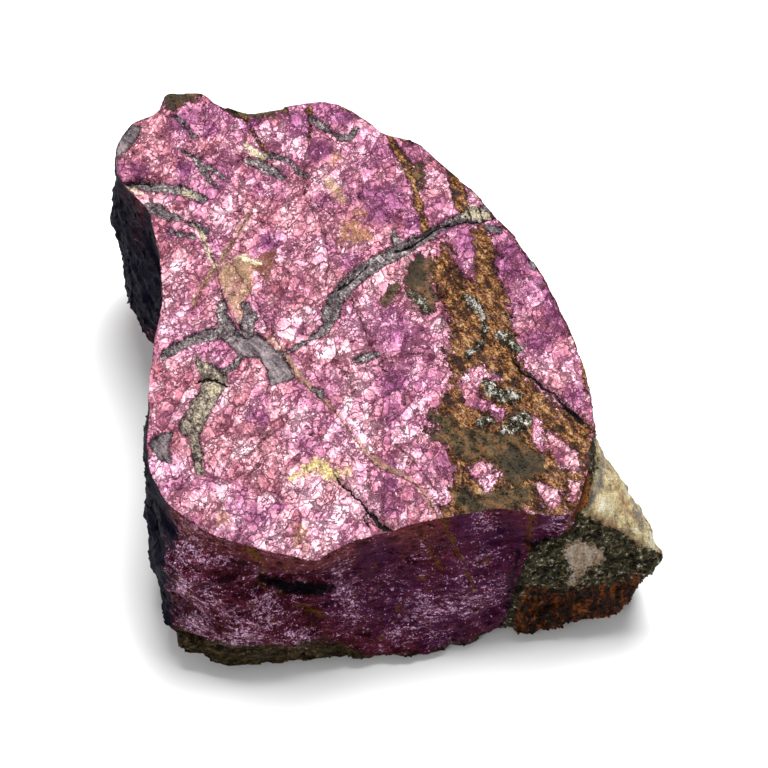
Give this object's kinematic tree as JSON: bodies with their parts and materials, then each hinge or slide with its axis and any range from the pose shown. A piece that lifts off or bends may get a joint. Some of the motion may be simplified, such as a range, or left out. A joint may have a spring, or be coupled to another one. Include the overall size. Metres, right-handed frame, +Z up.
{
  "type": "purpurite hand specimen",
  "caption": "Broken hand specimen of purpurite with a flat bright cleavage face on top, steep broken walls and a lump of pale feldspar matrix at the front right corner.",
  "frame": {"origin": "under the middle of the stone's box, on the surface that it lies on", "axes": "+Z up, away from the flat spot; +X to the right and +Y to the back as seen from the lower edge of the bright face"},
  "size_m": [0.0694, 0.0702, 0.0321],
  "materials": {
    "purpurite": "Natural broken stone: bright rose-violet cleavage on top, dark maroon walls, rust stains, grey veins and pale feldspar."
  },
  "bodies": {
    "root": {"purpurite_stone": "purpurite"}
  },
  "joints": []
}
